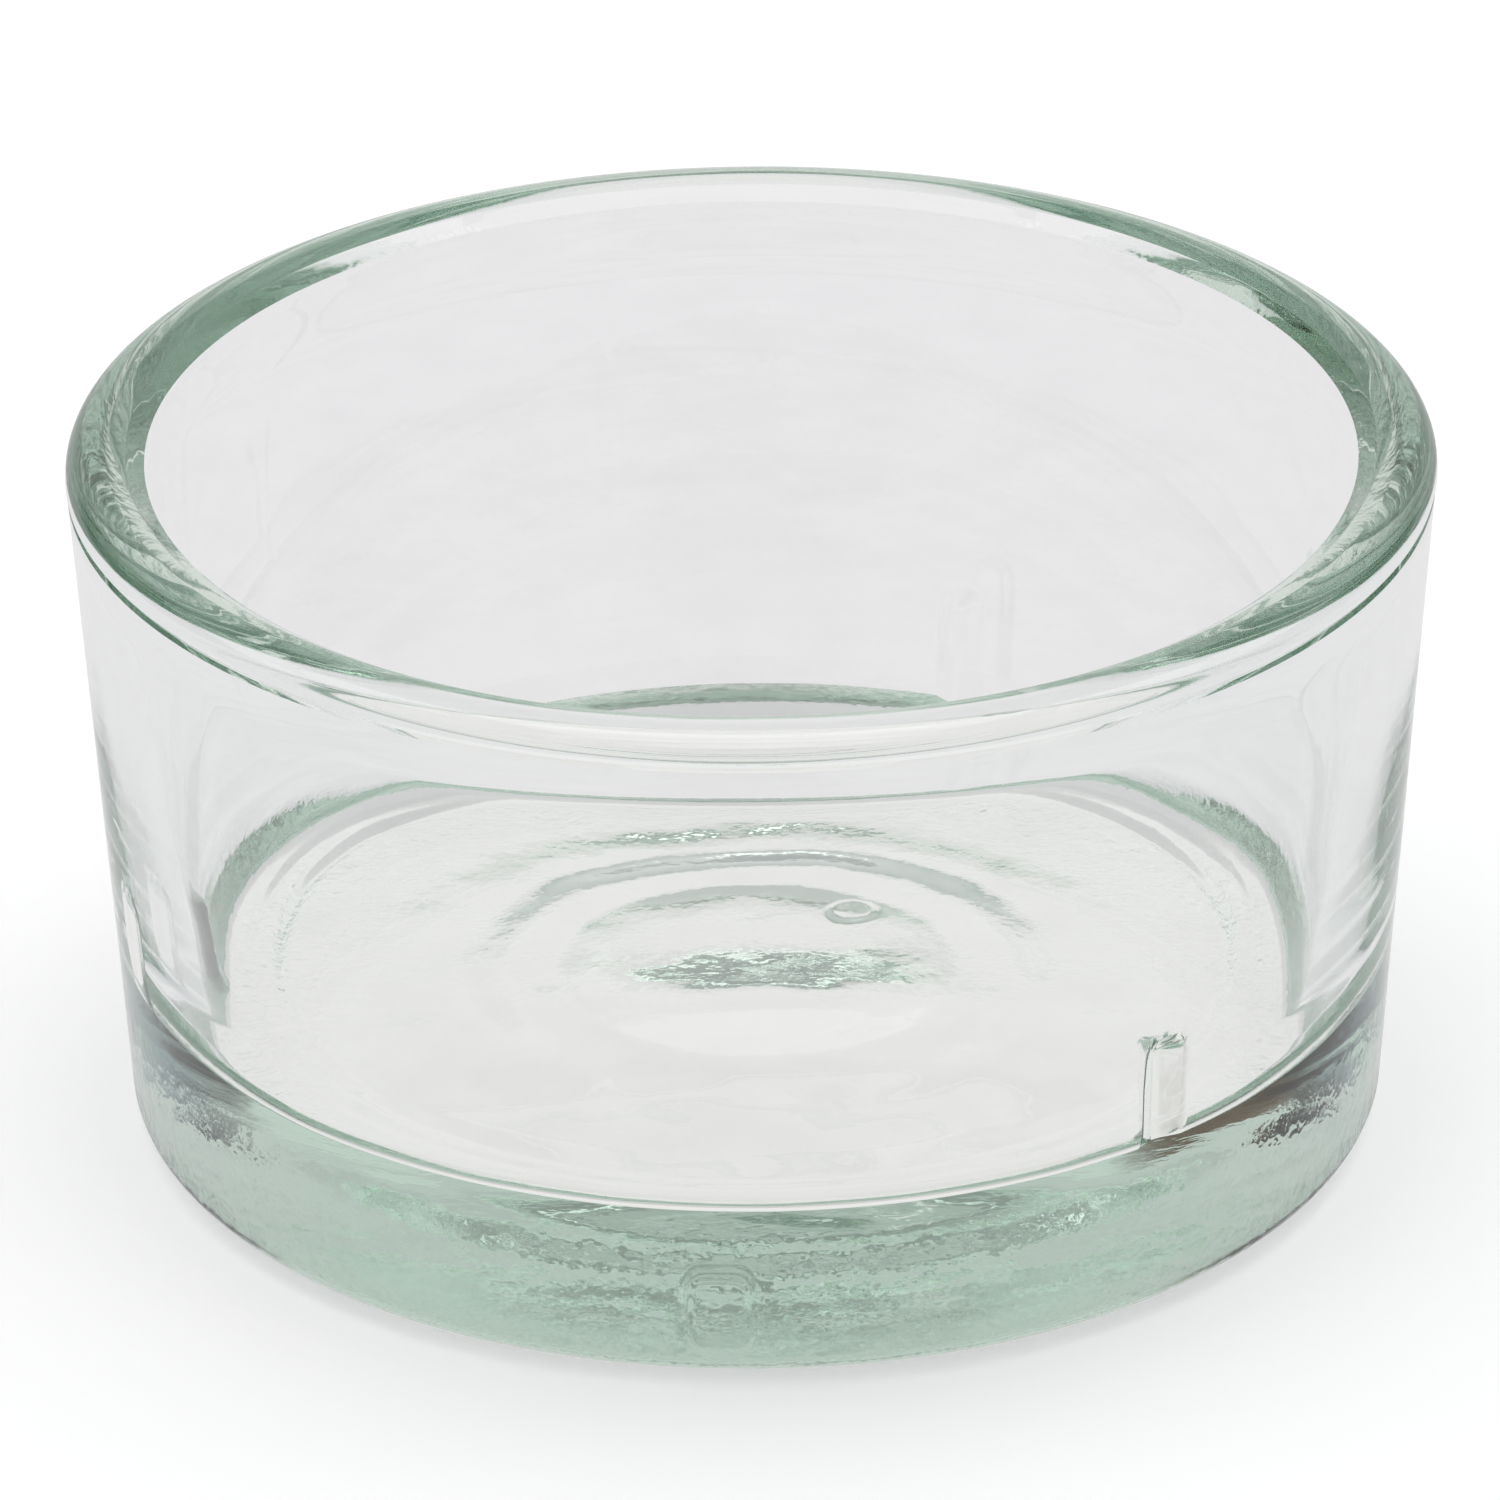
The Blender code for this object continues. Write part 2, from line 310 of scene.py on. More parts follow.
def inside_zone():
    """Inner wall, the fillet at its foot and the floor to the axis."""
    top, foot = HEIGHT - MOUTH_DROP, FLOOR_HEIGHT + CORNER_RISE + FILLET_HEIGHT
    heights = [top + (foot - top) * row / INNER_ROWS for row in range(1, INNER_ROWS + 1)]
    points = [("inner", inner_wall_radius(z), z) for z in heights]
    centre = (inner_wall_radius(foot) - FILLET_WIDTH, foot)
    fillet = quarter_arc(centre, (FILLET_WIDTH, FILLET_HEIGHT), -90.0, FILLET_ROWS)[::-1]
    points += [("fillet", r, z) for r, z in fillet[1:]]
    radii = [centre[0] * (1 - row / FLOOR_ROWS) for row in range(1, FLOOR_ROWS + 1)]
    points += [("floor", r, FLOOR_HEIGHT + corner_rise(r)) for r in radii]
    return points


outline = underside_zone() + outer_zone() + rim_zone() + inside_zone()
print("points in the half outline:", len(outline))

# %% [markdown]
# ## Ribs
#
# Three small upright ribs stand on the inner wall and keep the tealight in the middle. On the real cup
# they are part of the pressing, so they melt into the wall. Three small solids could be joined to the
# cup, but joins are hard to keep clean in glass, where every edge shows. So a rib here is a rule that
# pulls the wall in to the rib's nose wherever a point lies inside a pill-shaped outline. One rib has a
# straight flank, which gives the crisp dark line in the photo, and the others are rounder and lower.

# %% Where the ribs are and how they press in
TEALIGHT_RADIUS = 0.0195
TEALIGHT_PLAY = 0.0014
RIB_NOSE = TEALIGHT_RADIUS + TEALIGHT_PLAY
RIB_BEARINGS = (40.6, 158.0, 283.0)
RIB_FLANK = 0.00095           # reach of the straight left flank, which only the sharpest rib has
RIB_GENTLE = 0.0011           # reach of every other flank, which is gentler
RIB_CROWN = 0.0009            # height over which a rib's top is rounded
RIB_TOP = FLOOR_HEIGHT + 0.0051
RIB_FULLNESS = (1.0, 0.4, 0.6)      # how far each rib stands out, where 1 reaches the nose
RIB_SPAN = 8.0                # degrees to each side of a rib within which it is looked for
WORN_POWER = 1.8              # more makes a worn rib narrower and its foot softer


def rib_share(bearing, radius, height):
    """1 on a rib, 0 on the bare wall, and in between on a rib's flank."""
    share = 0.0
    for rib, fullness in zip(RIB_BEARINGS, RIB_FULLNESS):
        turn = (bearing - rib + 180.0) % 360.0 - 180.0
        if abs(turn) < RIB_SPAN:
            across = radius * math.sin(math.radians(turn))
            above = max(0.0, height - (RIB_TOP - RIB_CROWN))
            crisp = across < 0.0 and fullness == 1.0
            half = RIB_FLANK if crisp else RIB_GENTLE
            reach = min(math.hypot(across / half, above / RIB_CROWN), 1.0)
            profile = 1.0 - reach if crisp else (1.0 - reach ** 2) ** WORN_POWER
            share = max(share, fullness * profile)
    return share


# %% [markdown]
# ## Waves in the glass
#
# A mould never leaves glass flat. The plunger draws it in slow waves a few millimetres long and some
# hundredths of a millimetre deep, and that is enough to make every line seen through the wall tremble.
# The waves come from Blender's noise functions, so they are the same in every run.
#
# The plunger itself was turned on a lathe, and the rings of that turning are still there round the foot of
# the inner wall. They are what splits the line between wall and floor into several thin ones.

# %% Slow waves
WAVE_DEPTH = {"underside": 0.000030, "heel": 0.000020, "wall": 0.000012, "rim": 0.000008,
              "inner": 0.000012, "fillet": 0.000030, "floor": 0.000024}
WAVE_LENGTH = {"underside": 0.0022, "heel": 0.0030, "wall": 0.0050, "rim": 0.0035,
               "inner": 0.0042, "fillet": 0.0024, "floor": 0.0026}


def wave(zone, place):
    """Depth of the slow wave at a place, outward positive."""
    return WAVE_DEPTH[zone] * noise.noise(place / WAVE_LENGTH[zone])


# %% Turning marks
MARK_PITCH = 0.0010
MARK_DEPTH = 0.000011


def turning_mark(height):
    """Depth of the rings round the foot of the inner wall."""
    return MARK_DEPTH * math.sin(math.tau * (height - FLOOR_HEIGHT) / MARK_PITCH)


# %% A burst bubble on the floor
BUBBLE_PLACE = Vector((0.0038, 0.0033))
BUBBLE_RADIUS = 0.00075
BUBBLE_RIDGE = 0.00022
BUBBLE_HEIGHT = 0.00012


def bubble_ridge(flat_place):
    """Height of the low ring that a burst bubble leaves."""
    off = (flat_place - BUBBLE_PLACE).length - BUBBLE_RADIUS
    return BUBBLE_HEIGHT * math.exp(-(off / BUBBLE_RIDGE) ** 2)


# %% [markdown]
# ## The shear mark
#
# The gob of glass is cut off with shears before it falls into the mould, and the cold cut leaves a small
# scar. Here it is a low ridge in the form of a pill, at the front of the base. It could be a bump map,
# but a real ridge bends the light behind it too.

# %% Scar of the shears
SHEAR_BEARING = 356.6
SHEAR_HALF_WIDTH = 0.0012
SHEAR_LOW = 0.0018
SHEAR_HIGH = 0.0050
SHEAR_RIDGE = 0.00016
SHEAR_HEIGHT = 0.00012
SHEAR_SPAN = 4.0              # degrees to each side within which the mark is looked for


def shear_ridge(bearing, radius, height):
    """Height of the scar's ridge at a place on the outer side."""
    turn = (bearing - SHEAR_BEARING + 180.0) % 360.0 - 180.0
    if abs(turn) > SHEAR_SPAN:
        return 0.0
    across = radius * math.sin(math.radians(turn)) / SHEAR_HALF_WIDTH
    along = (2.0 * height - SHEAR_LOW - SHEAR_HIGH) / (SHEAR_HIGH - SHEAR_LOW)
    off = (math.hypot(across ** 2, along ** 2) ** 0.5 - 1.0) * SHEAR_HALF_WIDTH
    return SHEAR_HEIGHT * math.exp(-(off / SHEAR_RIDGE) ** 2)


# %% [markdown]
# ## Building the mesh
#
# Each outline point becomes a ring of vertices. The rings are closer together in angle beside the ribs,
# where the shape changes fast. Waves push the sides of the cup in or out and the level parts up or down,
# and they fade away at the seam, at the mouth's edge and on the bearing ring, so that the cup keeps the
# size that the frame gives it.

# %% Bearings of the columns
COLUMN_STEP = 0.75
FINE_STEP = 0.12
FINE_REACH = 3.0


def column_bearings():
    """Bearings in degrees, evenly spread and finer beside the ribs and the shear mark."""
    coarse = {round(step * COLUMN_STEP, 3) for step in range(int(360 / COLUMN_STEP))}
    fine_count = int(FINE_REACH / FINE_STEP)
    fine_steps = range(-fine_count, fine_count + 1)
    for middle in RIB_BEARINGS + (SHEAR_BEARING,):
        coarse |= {round((middle + step * FINE_STEP) % 360, 3) for step in fine_steps}
    return sorted(coarse)


# %% Place of one vertex
# Reaches over which waves and marks fade out, in metres.
RING_FADE = 0.003             # underside, towards the bearing ring
SHIFT_FADE = 0.007            # shift of the plug mark, towards the bearing ring
MOUTH_FADE = 0.003            # walls, towards the edge of the mouth
FOOT_FADE = 0.002             # outer wall, towards the foot
MARK_FADE = 0.0004            # turning marks, towards the floor
RIM_FADE = 0.0008             # rim, towards the seam and towards the mouth


def vertex_place(zone, radius, height, bearing):
    """Where the glass surface lies at a bearing, read from above, from the front towards the right."""
    turn = math.radians(bearing)
    outward = Vector((math.sin(turn), -math.cos(turn), 0.0))
    if zone == "fillet":
        radius, height = worn_fillet(radius, height, bearing)
    place = outward * radius + Vector((0, 0, height))
    if zone in ("inner", "fillet"):
        nose_pull = rib_share(bearing, radius, height) if radius > RIB_NOSE else 0.0
        place -= outward * (radius - RIB_NOSE) * nose_pull
    if zone == "underside":
        fade = ease((BEARING_INNER - radius) / RING_FADE)
        place += PLUG_SHIFT.to_3d() * ease((BEARING_INNER - radius) / SHIFT_FADE)
        place.z += wave(zone, place) * fade + underside_relief(radius, place)
    elif zone == "floor":
        place.z += wave(zone, place) + bubble_ridge(place.xy) - worn_drop(height, bearing)
    elif zone in ("wall", "inner", "fillet", "heel"):
        fade = ease((HEIGHT - MOUTH_DROP - height) / MOUTH_FADE) * ease(height / FOOT_FADE)
        place += outward * wave(zone, place) * fade
        if zone in ("wall", "heel"):
            place += outward * shear_ridge(bearing, radius, height)
        if zone == "fillet":
            place += outward * turning_mark(height) * ease((height - FLOOR_HEIGHT) / MARK_FADE)
    else:
        off_seam = ease((RIM_RADIUS - radius) / RIM_FADE)
        off_mouth = ease((radius - RIM_RADIUS + RIM_WIDTH) / RIM_FADE)
        place.z -= (WAVE_DEPTH[zone] + wave(zone, place)) / 2 * off_seam * off_mouth
    return place


# %% Rings of vertices and the faces between them
def turned_mesh(name):
    """Build the closed glass surface ring by ring."""
    shape = bmesh.new()
    bearings = column_bearings()
    rings = []
    for zone, radius, height in outline:
        if radius < 1e-7:
            rings.append([shape.verts.new(vertex_place(zone, 0.0, height, 0.0))])
        else:
            rings.append([shape.verts.new(vertex_place(zone, radius, height, b)) for b in bearings])
    for lower, upper in zip(rings, rings[1:]):
        for column in range(len(bearings)):
            beside = (column + 1) % len(bearings)
            corners = [lower[column % len(lower)], lower[beside % len(lower)],
                       upper[beside % len(upper)], upper[column % len(upper)]]
            shape.faces.new(list(dict.fromkeys(corners)))
    bmesh.ops.recalc_face_normals(shape, faces=shape.faces)
    data = bpy.data.meshes.new(name)
    shape.to_mesh(data)
    shape.free()
    return data


SHARP_ANGLE = math.radians(35)
cup_mesh = turned_mesh("pressed_cup")
cup_mesh.shade_smooth()
cup_mesh.set_sharp_from_angle(angle=SHARP_ANGLE)
cup = bpy.data.objects.new("pressed_cup", cup_mesh)
bpy.context.scene.collection.objects.link(cup)
print("faces in the cup:", len(cup_mesh.polygons))

# %% The cup takes the place of the plain solid
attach(cup, "root")
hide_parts("glass_cup")

# %% [markdown]
# ## Glass
#
# Clear bottle glass holds a little iron. A thin wall of it looks clear and a long way through it looks
# sea green, so the colour isn't painted on the surface: the body of the glass swallows more red and blue
# than green on the way. Blender's Volume Absorption does this. Its colour says what share is left, and
# its density how fast the rest goes.
#
# The fine surface texture is a node group, because each zone of the cup uses it in another strength.

# %% Node helpers
def group_with(name, inputs, outputs):
    """New shader node group with plain float sockets, and its two end nodes."""
    group = bpy.data.node_groups.new(name, "ShaderNodeTree")
    for title, value in inputs:
        socket = group.interface.new_socket(name=title, in_out="INPUT", socket_type="NodeSocketFloat")
        socket.default_value = value
    for title in outputs:
        group.interface.new_socket(name=title, in_out="OUTPUT", socket_type="NodeSocketFloat")
    return group, group.nodes.new("NodeGroupInput"), group.nodes.new("NodeGroupOutput")


def maths(tree, operation, first, second=None, third=None):
    """Math node whose inputs are sockets or plain numbers."""
    node = tree.nodes.new("ShaderNodeMath")
    node.operation = operation
    for slot, value in zip(node.inputs, (first, second, third)):
        if value is None:
            continue
        if isinstance(value, bpy.types.NodeSocket):
            tree.links.new(value, slot)
        else:
            slot.default_value = value
    return node.outputs["Value"]


def band(tree, value, low, high):
    """0 below low, 1 above high and smooth between."""
    node = tree.nodes.new("ShaderNodeMapRange")
    node.interpolation_type = "SMOOTHSTEP"
    tree.links.new(value, node.inputs["Value"])
    node.inputs["From Min"].default_value = low
    node.inputs["From Max"].default_value = high
    return node.outputs["Result"]


def noise_at(tree, vector, scale, detail, roughness=0.5):
    """Noise texture read at a position, as a value about one half."""
    node = tree.nodes.new("ShaderNodeTexNoise")
    tree.links.new(vector, node.inputs["Vector"])
    node.inputs["Scale"].default_value = scale
    node.inputs["Detail"].default_value = detail
    node.inputs["Roughness"].default_value = roughness
    return node.outputs["Fac"]


# %% [markdown]
# ### Where each finish belongs
#
# The rim is smooth but keeps fine scars and small chips along the mouth, the underside is stippled by its
# mould, the outer wall beside the base is wrinkled where it cooled first, and the inner wall is almost
# clean. These could be painted as masks. A point's height and distance from the axis are enough here.

# %% Node group: zones of the cup
PLUG_GRAIN = 0.35             # share of the stipple that the plug mark keeps
# Each band runs from where its mask is 0 to where it is 1. First come the bands of distance from the
# axis, then those of height.
OFF_PLUG = (0.0165, 0.0200)
OFF_BEARING_RING = (HEEL_RADIUS - HEEL_WIDTH, HEEL_RADIUS - HEEL_WIDTH / 2)
OFF_MOUTH = (RIM_RADIUS - 0.0031, RIM_RADIUS - 0.0026)
ABOVE_FOOT = (0.0016, 0.0030)
ABOVE_FLOOR = (FLOOR_HEIGHT - 0.0010, FLOOR_HEIGHT + 0.0008)
NEAR_MOUTH = (HEIGHT - 0.0012, HEIGHT - 0.0007)
NEAR_CREST = (HEIGHT - 0.0011, HEIGHT - 0.0008)


def zone_group():
    """Masks for the underside, the rim, the mouth and the lower wall, from the place on the cup."""
    group, inputs, outputs = group_with("cup_zones", [], ["Underside", "Rim", "Mouth", "Base side"])
    place = group.nodes.new("ShaderNodeTexCoord").outputs["Object"]
    split = group.nodes.new("ShaderNodeSeparateXYZ")
    group.links.new(place, split.inputs[0])
    across = maths(group, "POWER", split.outputs["X"], 2.0)
    along = maths(group, "POWER", split.outputs["Y"], 2.0)
    radius = maths(group, "SQRT", maths(group, "ADD", across, along))
    below = maths(group, "SUBTRACT", 1.0, band(group, split.outputs["Z"], *ABOVE_FOOT))
    grain_share = maths(group, "MULTIPLY_ADD", band(group, radius, *OFF_PLUG), 1.0 - PLUG_GRAIN, PLUG_GRAIN)
    low = maths(group, "MULTIPLY", below, grain_share)
    crest = band(group, split.outputs["Z"], *NEAR_CREST)
    inward = maths(group, "SUBTRACT", 1.0, band(group, radius, *OFF_MOUTH))
    high = band(group, split.outputs["Z"], *NEAR_MOUTH)
    outer = band(group, radius, *OFF_BEARING_RING)
    beside_base = maths(group, "SUBTRACT", 1.0, band(group, split.outputs["Z"], *ABOVE_FLOOR))
    group.links.new(maths(group, "MULTIPLY", outer, beside_base), outputs.inputs["Base side"])
    group.links.new(low, outputs.inputs["Underside"])
    group.links.new(crest, outputs.inputs["Rim"])
    group.links.new(maths(group, "MULTIPLY", inward, high), outputs.inputs["Mouth"])
    return group


# %% Node group: surface of pressed glass
GRAIN_SCALE = 1100.0          # grains per metre
GRAIN_DETAIL = 2.0
GRAIN_ROUGHNESS = 0.6
PEEL_DEPTH = 0.014            # depths are shares of the bump distance
STIPPLE_DEPTH = 0.95
SCAR_DEPTH = 0.01
CHIP_DEPTH = 0.60
WRINKLE_DEPTH = 0.60


def skin_group():
    """Height of the fine texture: orange peel everywhere, stipple below and scars on the rim."""
    strengths = [("Underside", 0.0), ("Rim", 0.0), ("Mouth", 0.0), ("Base side", 0.0)]
    group, inputs, outputs = group_with("pressed_skin", strengths, ["Height"])
    place = group.nodes.new("ShaderNodeTexCoord").outputs["Object"]
    depth = maths(group, "MULTIPLY_ADD", inputs.outputs["Underside"], STIPPLE_DEPTH, PEEL_DEPTH)
    depth = maths(group, "MULTIPLY_ADD", inputs.outputs["Rim"], SCAR_DEPTH, depth)
    depth = maths(group, "MULTIPLY_ADD", inputs.outputs["Mouth"], CHIP_DEPTH, depth)
    depth = maths(group, "MULTIPLY_ADD", inputs.outputs["Base side"], WRINKLE_DEPTH, depth)
    grain = noise_at(group, place, GRAIN_SCALE, GRAIN_DETAIL, GRAIN_ROUGHNESS)
    group.links.new(maths(group, "MULTIPLY", grain, depth), outputs.inputs["Height"])
    return group


# %% The glass material
GLASS_INDEX = 1.52
SWALLOWED = (12.9, 8.2, 11.2)     # red, green and blue lost per metre of glass, as natural logarithms
DENSITY = 14.0
BUMP_DISTANCE = 0.00006
RIM_ROUGHNESS = 0.03
UNDERSIDE_ROUGHNESS = 0.12


def glass_material():
    """Pressed glass: clear skin, faint green body."""
    material = bpy.data.materials.new("clear_pressed_glass")
    material.use_nodes = True
    tree = material.node_tree
    shader = tree.nodes["Principled BSDF"]
    shader.distribution = "GGX"
    shader.inputs["Base Color"].default_value = (1.0, 1.0, 1.0, 1.0)
    shader.inputs["IOR"].default_value = GLASS_INDEX
    shader.inputs["Transmission Weight"].default_value = 1.0
    zones = tree.nodes.new("ShaderNodeGroup")
    zones.node_tree = zone_group()
    skin = tree.nodes.new("ShaderNodeGroup")
    skin.node_tree = skin_group()
    for name in ("Underside", "Rim", "Mouth", "Base side"):
        tree.links.new(zones.outputs[name], skin.inputs[name])
    bump = tree.nodes.new("ShaderNodeBump")
    bump.inputs["Strength"].default_value = 1.0
    bump.inputs["Distance"].default_value = BUMP_DISTANCE
    tree.links.new(skin.outputs["Height"], bump.inputs["Height"])
    tree.links.new(bump.outputs["Normal"], shader.inputs["Normal"])
    rough = maths(tree, "MULTIPLY", zones.outputs["Rim"], RIM_ROUGHNESS)
    rough = maths(tree, "MULTIPLY_ADD", zones.outputs["Underside"], UNDERSIDE_ROUGHNESS, rough)
    tree.links.new(rough, shader.inputs["Roughness"])
    body = tree.nodes.new("ShaderNodeVolumeAbsorption")
    body.inputs["Color"].default_value = tuple(1.0 - lost / DENSITY for lost in SWALLOWED) + (1.0,)
    body.inputs["Density"].default_value = DENSITY
    tree.links.new(body.outputs["Volume"], tree.nodes["Material Output"].inputs["Volume"])
    return material


cup.data.materials.append(glass_material())
print("material:", cup.data.materials[0].name)

# %% [markdown]
# ## Floor
#
# The cup stands on a plain white floor. Seen directly it is white and keeps a soft shadow. Seen through
# the glass it is a pale grey, as it looks in the photo: inside the cup nothing is as bright as the bare
# background. Light Path tells the shader which kind of ray is asking. Right under the cup the floor is a
# little brighter, because the cup gathers light there, and the paper has faint clouds. These shades were
# chosen to meet the photo. A full simulation of the light under a glass would be the other way, and
# it takes far more samples than such a plain floor is worth.

# %% White floor
FLOOR_SIZE = 6.0
FLOOR_DROP = 0.00001          # keeps the sheet clear of the foot
FLOOR_COLOUR = (0.80, 0.80, 0.80, 1.0)
FLOOR_ROUGHNESS = 0.7
CAMERA_GLOW = 0.32            # lifts the bare floor to white for the camera alone
SEEN_THROUGH = (0.840, 0.820, 0.840, 1.0)
UNDER_CUP = (0.925, 0.885, 0.888, 1.0)       # brighter there, because the cup gathers light
SHADE_LEVEL = 0.78            # floor beside the foot, in the cup's own shade
FOOT_EDGE = (HEEL_RADIUS - 0.0015, HEEL_RADIUS)      # where the floor under the cup ends
SHADE_INNER = 0.0235
SHADE_OUTER = 0.0290
PAPER_SCALE = 230.0           # clouds in the paper under the cup, per metre
PAPER_DETAIL = 3.0
PAPER_DEPTH = 0.10


def floor_material():
    """Matt white for light, a steady white for the camera and pale grey through glass."""
    material = bpy.data.materials.new("white_floor")
    material.use_nodes = True
    tree = material.node_tree
    matt = tree.nodes["Principled BSDF"]
    matt.inputs["Base Color"].default_value = FLOOR_COLOUR
    matt.inputs["Roughness"].default_value = FLOOR_ROUGHNESS
    path = tree.nodes.new("ShaderNodeLightPath")
    glow = tree.nodes.new("ShaderNodeEmission")
    glow.inputs["Color"].default_value = (1.0, 1.0, 1.0, 1.0)
    lift = maths(tree, "MULTIPLY", path.outputs["Is Camera Ray"], CAMERA_GLOW)
    tree.links.new(lift, glow.inputs["Strength"])
    bright = tree.nodes.new("ShaderNodeAddShader")
    tree.links.new(matt.outputs["BSDF"], bright.inputs[0])
    tree.links.new(glow.outputs["Emission"], bright.inputs[1])
    place = tree.nodes.new("ShaderNodeTexCoord").outputs["Object"]
    distance = tree.nodes.new("ShaderNodeVectorMath")
    distance.operation = "LENGTH"
    tree.links.new(place, distance.inputs[0])
    shade = band(tree, distance.outputs["Value"], SHADE_INNER, SHADE_OUTER)
    shade = maths(tree, "MULTIPLY_ADD", shade, 1.0 - SHADE_LEVEL, SHADE_LEVEL)
    middle = maths(tree, "SUBTRACT", 1.0, band(tree, distance.outputs["Value"], *FOOT_EDGE))
    shade = maths(tree, "MAXIMUM", shade, middle)
    tint = tree.nodes.new("ShaderNodeMix")
    tint.data_type = "RGBA"
    tree.links.new(middle, tint.inputs["Factor"])
    tint.inputs["A"].default_value = SEEN_THROUGH
    tint.inputs["B"].default_value = UNDER_CUP
    paper = noise_at(tree, place, PAPER_SCALE, PAPER_DETAIL)
    clouds = maths(tree, "MULTIPLY_ADD", paper, PAPER_DEPTH, 1.0 - PAPER_DEPTH / 2)
    shade = maths(tree, "MULTIPLY", shade, clouds)
    through = tree.nodes.new("ShaderNodeEmission")
    tree.links.new(tint.outputs["Result"], through.inputs["Color"])
    tree.links.new(shade, through.inputs["Strength"])
    bent = maths(tree, "MAXIMUM", path.outputs["Is Transmission Ray"], path.outputs["Is Glossy Ray"])
    mix = tree.nodes.new("ShaderNodeMixShader")
    tree.links.new(bent, mix.inputs["Fac"])
    tree.links.new(bright.outputs["Shader"], mix.inputs[1])
    tree.links.new(through.outputs["Emission"], mix.inputs[2])
    tree.links.new(mix.outputs["Shader"], tree.nodes["Material Output"].inputs["Surface"])
    return material


def floor_sheet():
    """One large sheet a hair below the foot of the cup."""
    shape = bmesh.new()
    half = FLOOR_SIZE / 2
    corners = [(-half, -half), (half, -half), (half, half), (-half, half)]
    shape.faces.new([shape.verts.new((x, y, -FLOOR_DROP)) for x, y in corners])
    data = bpy.data.meshes.new("floor")
    shape.to_mesh(data)
    shape.free()
    data.materials.append(floor_material())
    sheet = bpy.data.objects.new("floor", data)
    bpy.context.scene.collection.objects.link(sheet)
    return sheet


floor_sheet()

# %% [markdown]
# ## Light
#
# Soft light comes from all round, as in a light tent with an opening for the camera. Clear glass is seen by
# its dark edges alone, so the tent has cards in it: a grey one high at the back, which the band of the base
# shows, others low at the sides for the rim, and a brown and a slate one behind to the left, which the
# right end of the base shows. What really stood there isn't known. The cards were placed by following
# which part of the sky each part of the glass shows, and toned. Real cards would be planes in the
# scene. Here they are soft spots in the world, so they can't get in the way of another camera.

# %% World light
CAMERA_ELEVATION = 26.7       # degrees by which the camera looks down
TENT_LEVEL = 0.90
# Cards of the tent: bearing from the back, clockwise from above, elevation, inner and outer reach in
# degrees, and the shares of red, green and blue light that are left there.
CARDS = (("back wall", 0.0, 49.0, 7.0, 24.0, (0.45, 0.45, 0.46)),
         ("back left card", -45.0, 26.0, 10.0, 20.0, (0.15, 0.08, 0.04)),
         ("left low card", -64.0, 24.0, 11.0, 20.0, (0.10, 0.14, 0.20)),
         ("back right card", 52.0, 24.0, 5.0, 16.0, (0.42, 0.41, 0.42)),
         ("right card", 85.0, 22.0, 16.0, 32.0, (0.36, 0.42, 0.48)),
         ("left foot card", -48.0, 15.0, 6.0, 16.0, (0.12, 0.13, 0.13)),
         ("right foot card", 53.0, 15.0, 6.0, 16.0, (0.12, 0.13, 0.13)),
         ("camera", 180.0, CAMERA_ELEVATION, 14.0, 30.0, (0.20, 0.20, 0.20)))


def dimmed(tree, light, mask, left):
    """Light that falls to a share of itself, colour by colour, where the mask is 1."""
    share = tree.nodes.new("ShaderNodeVectorMath")
    share.operation = "MULTIPLY_ADD"
    tree.links.new(mask, share.inputs[0])
    share.inputs[1].default_value = tuple(part - 1.0 for part in left)
    share.inputs[2].default_value = (1.0, 1.0, 1.0)
    product = tree.nodes.new("ShaderNodeVectorMath")
    product.operation = "MULTIPLY"
    tree.links.new(light, product.inputs[0])
    tree.links.new(share.outputs["Vector"], product.inputs[1])
    return product.outputs["Vector"]


def direction(bearing, elevation):
    """Unit vector for a bearing from the back and an elevation, both in degrees."""
    turn, rise = math.radians(bearing), math.radians(elevation)
    return (math.sin(turn) * math.cos(rise), math.cos(turn) * math.cos(rise), math.sin(rise))


def card_mask(tree, heading, bearing, elevation, inner, outer):
    """1 in the middle of a card, 0 outside it and soft between."""
    product = tree.nodes.new("ShaderNodeVectorMath")
    product.operation = "DOT_PRODUCT"
    tree.links.new(heading, product.inputs[0])
    product.inputs[1].default_value = direction(bearing, elevation)
    low, high = math.cos(math.radians(outer)), math.cos(math.radians(inner))
    return band(tree, product.outputs["Value"], low, high)


def world_light():
    """Light tent, read from the direction in which a ray leaves the scene."""
    world = bpy.data.worlds.new("light_tent")
    bpy.context.scene.world = world
    world.use_nodes = True
    tree = world.node_tree
    heading = tree.nodes.new("ShaderNodeTexCoord").outputs["Generated"]
    path = tree.nodes.new("ShaderNodeLightPath")
    light = maths(tree, "ADD", TENT_LEVEL, 0.0)
    for _title, bearing, elevation, inner, outer, left in CARDS:
        light = dimmed(tree, light, card_mask(tree, heading, bearing, elevation, inner, outer), left)
    brightest = tree.nodes.new("ShaderNodeVectorMath")
    brightest.operation = "MAXIMUM"
    tree.links.new(light, brightest.inputs[0])
    tree.links.new(path.outputs["Is Camera Ray"], brightest.inputs[1])
    tree.links.new(brightest.outputs["Vector"], tree.nodes["Background"].inputs["Color"])
    tree.nodes["Background"].inputs["Strength"].default_value = 1.0


world_light()

# %% Soft box
def soft_box(name, place, width, watts):
    """Square area lamp that looks at the cup."""
    lamp = bpy.data.lights.new(name, "AREA")
    lamp.shape = "SQUARE"
    lamp.size = width
    lamp.energy = watts
    box = bpy.data.objects.new(name, lamp)
    box.location = place
    box.rotation_euler = (Vector((0, 0, HEIGHT / 2)) - Vector(place)).to_track_quat("-Z", "Y").to_euler()
    bpy.context.scene.collection.objects.link(box)
    return box


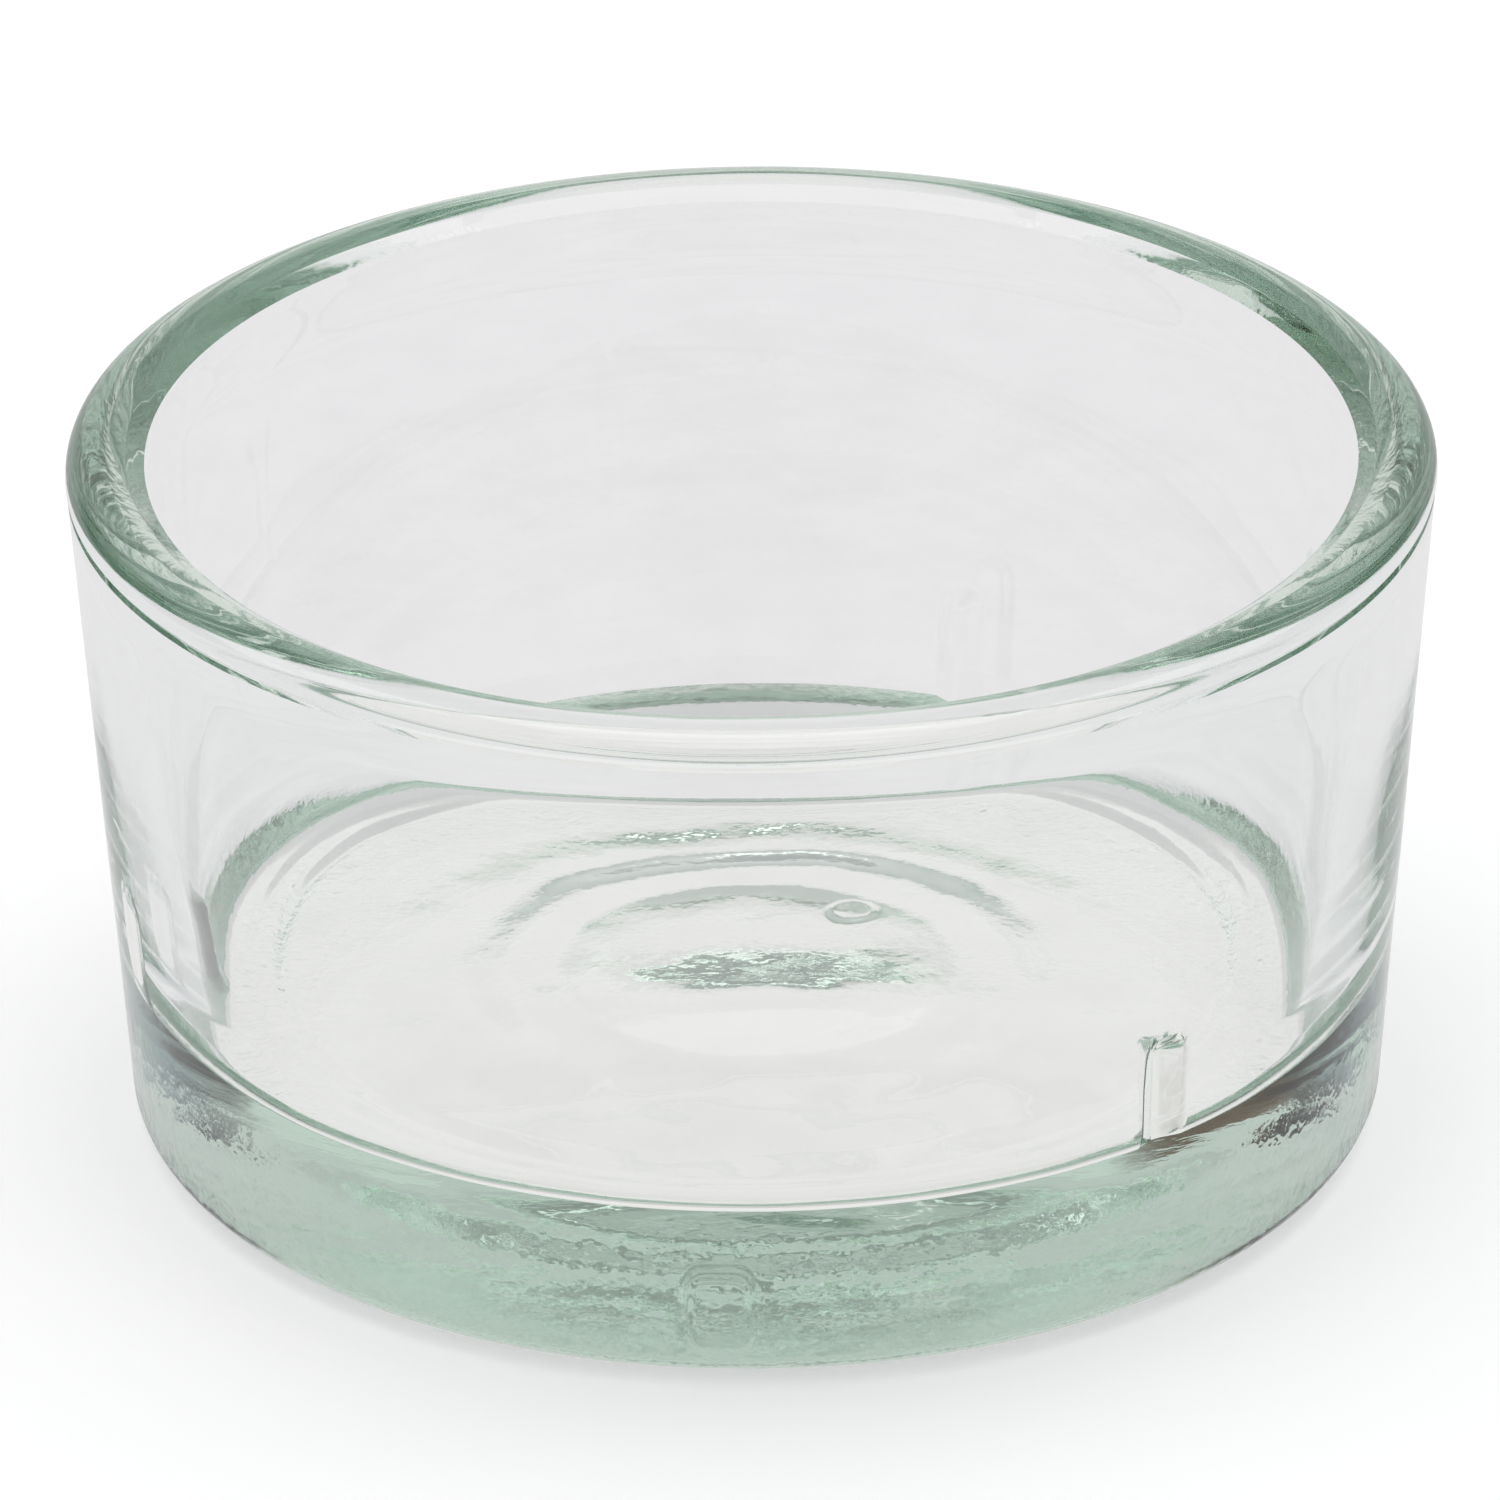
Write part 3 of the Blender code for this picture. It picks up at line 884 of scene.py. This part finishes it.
soft_box("top_box", (0.0, 0.06, 0.65), 0.42, 0.5)
soft_box("left_box", (-0.39, 0.18, 0.55), 0.36, 0.4)
soft_box("right_box", (0.39, 0.18, 0.55), 0.36, 0.4)

# %% [markdown]
# ## Camera
#
# The camera looks down at the cup by 26.7 degrees from about half a metre away, which was worked out
# from the ellipses of the rim and the slope of the sides.

# %% Camera
PHOTO_WIDTH = 1500.0
CAMERA_PITCH = math.radians(CAMERA_ELEVATION)
PIXELS_PER_RIM_RADIUS = 676.5
CUP_PIXEL = (754.1, 783.0)          # where the middle of the view axis falls in the photo
CAMERA_ROLL = math.radians(-0.5)
CAMERA_DISTANCE = 18.0 * RIM_RADIUS
LOOK_HEIGHT = 0.5 * RIM_RADIUS
SENSOR_WIDTH = 36.0

camera_data = bpy.data.cameras.new("photo_camera")
camera = bpy.data.objects.new("photo_camera", camera_data)
bpy.context.scene.collection.objects.link(camera)
bpy.context.scene.camera = camera
back = CAMERA_DISTANCE * math.cos(CAMERA_PITCH)
camera.location = (0.0, -back, LOOK_HEIGHT + CAMERA_DISTANCE * math.sin(CAMERA_PITCH))
aim = (Vector((0, 0, LOOK_HEIGHT)) - camera.location).to_track_quat("-Z", "Y")
camera.rotation_euler = (aim @ Quaternion((0.0, 0.0, 1.0), CAMERA_ROLL)).to_euler()
camera_data.sensor_width = SENSOR_WIDTH
camera_data.lens = SENSOR_WIDTH * PIXELS_PER_RIM_RADIUS * CAMERA_DISTANCE / RIM_RADIUS / PHOTO_WIDTH
camera_data.shift_x = (PHOTO_WIDTH / 2 - CUP_PIXEL[0]) / PHOTO_WIDTH
camera_data.shift_y = (CUP_PIXEL[1] - PHOTO_WIDTH / 2) / PHOTO_WIDTH
camera_data.clip_start = 0.01
print("lens, mm:", round(camera_data.lens, 1))

# %% [markdown]
# ## Render settings
#
# Light makes many turns inside a glass wall, and each turn that is cut off leaves a black blotch, so the
# limits on bounces go up.

# %% Render view and finish
scene = bpy.context.scene
scene.view_settings.view_transform = "Standard"
BOUNCES = 40
scene.cycles.max_bounces = BOUNCES
scene.cycles.transmission_bounces = BOUNCES
scene.cycles.glossy_bounces = BOUNCES
